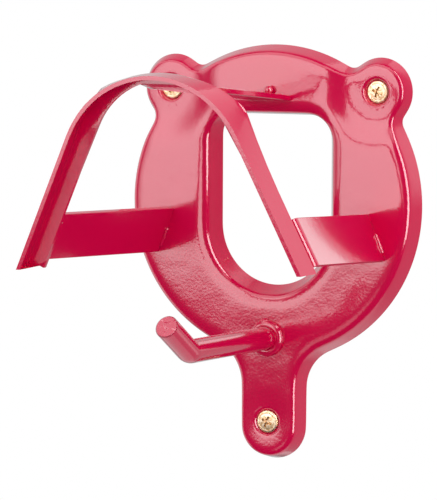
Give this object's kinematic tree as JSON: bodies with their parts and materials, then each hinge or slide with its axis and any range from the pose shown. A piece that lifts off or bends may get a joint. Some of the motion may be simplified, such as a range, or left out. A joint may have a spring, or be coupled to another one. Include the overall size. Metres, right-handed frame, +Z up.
{
  "type": "bridle rack",
  "caption": "Wall-hung bridle rack: pressed steel plate with a D-shaped opening, a leaning saddle arch on flat arms, and a bent rod hook below.",
  "frame": {"origin": "on the wall, midway between the axes of the two upper screws", "axes": "+Z up, +Y into the wall, +X to the right as seen from the room"},
  "size_m": [0.13, 0.1398, 0.171],
  "materials": {
    "powder_coat": "glossy raspberry powder coat with a light orange peel",
    "zinc_screws": "yellow zinc plated steel"
  },
  "bodies": {
    "root": {"wall_plate": "powder_coat", "saddle_arch": "powder_coat", "left_arm": "powder_coat", "right_arm": "powder_coat", "crown_strap": "powder_coat", "tack_hook": "powder_coat", "weld_left_arm": "powder_coat", "weld_right_arm": "powder_coat", "weld_strap_root": "powder_coat", "weld_strap_tip": "powder_coat", "weld_hook_root": "powder_coat", "screw_top_left": "zinc_screws", "screw_top_right": "zinc_screws", "screw_bottom": "zinc_screws"}
  },
  "joints": []
}
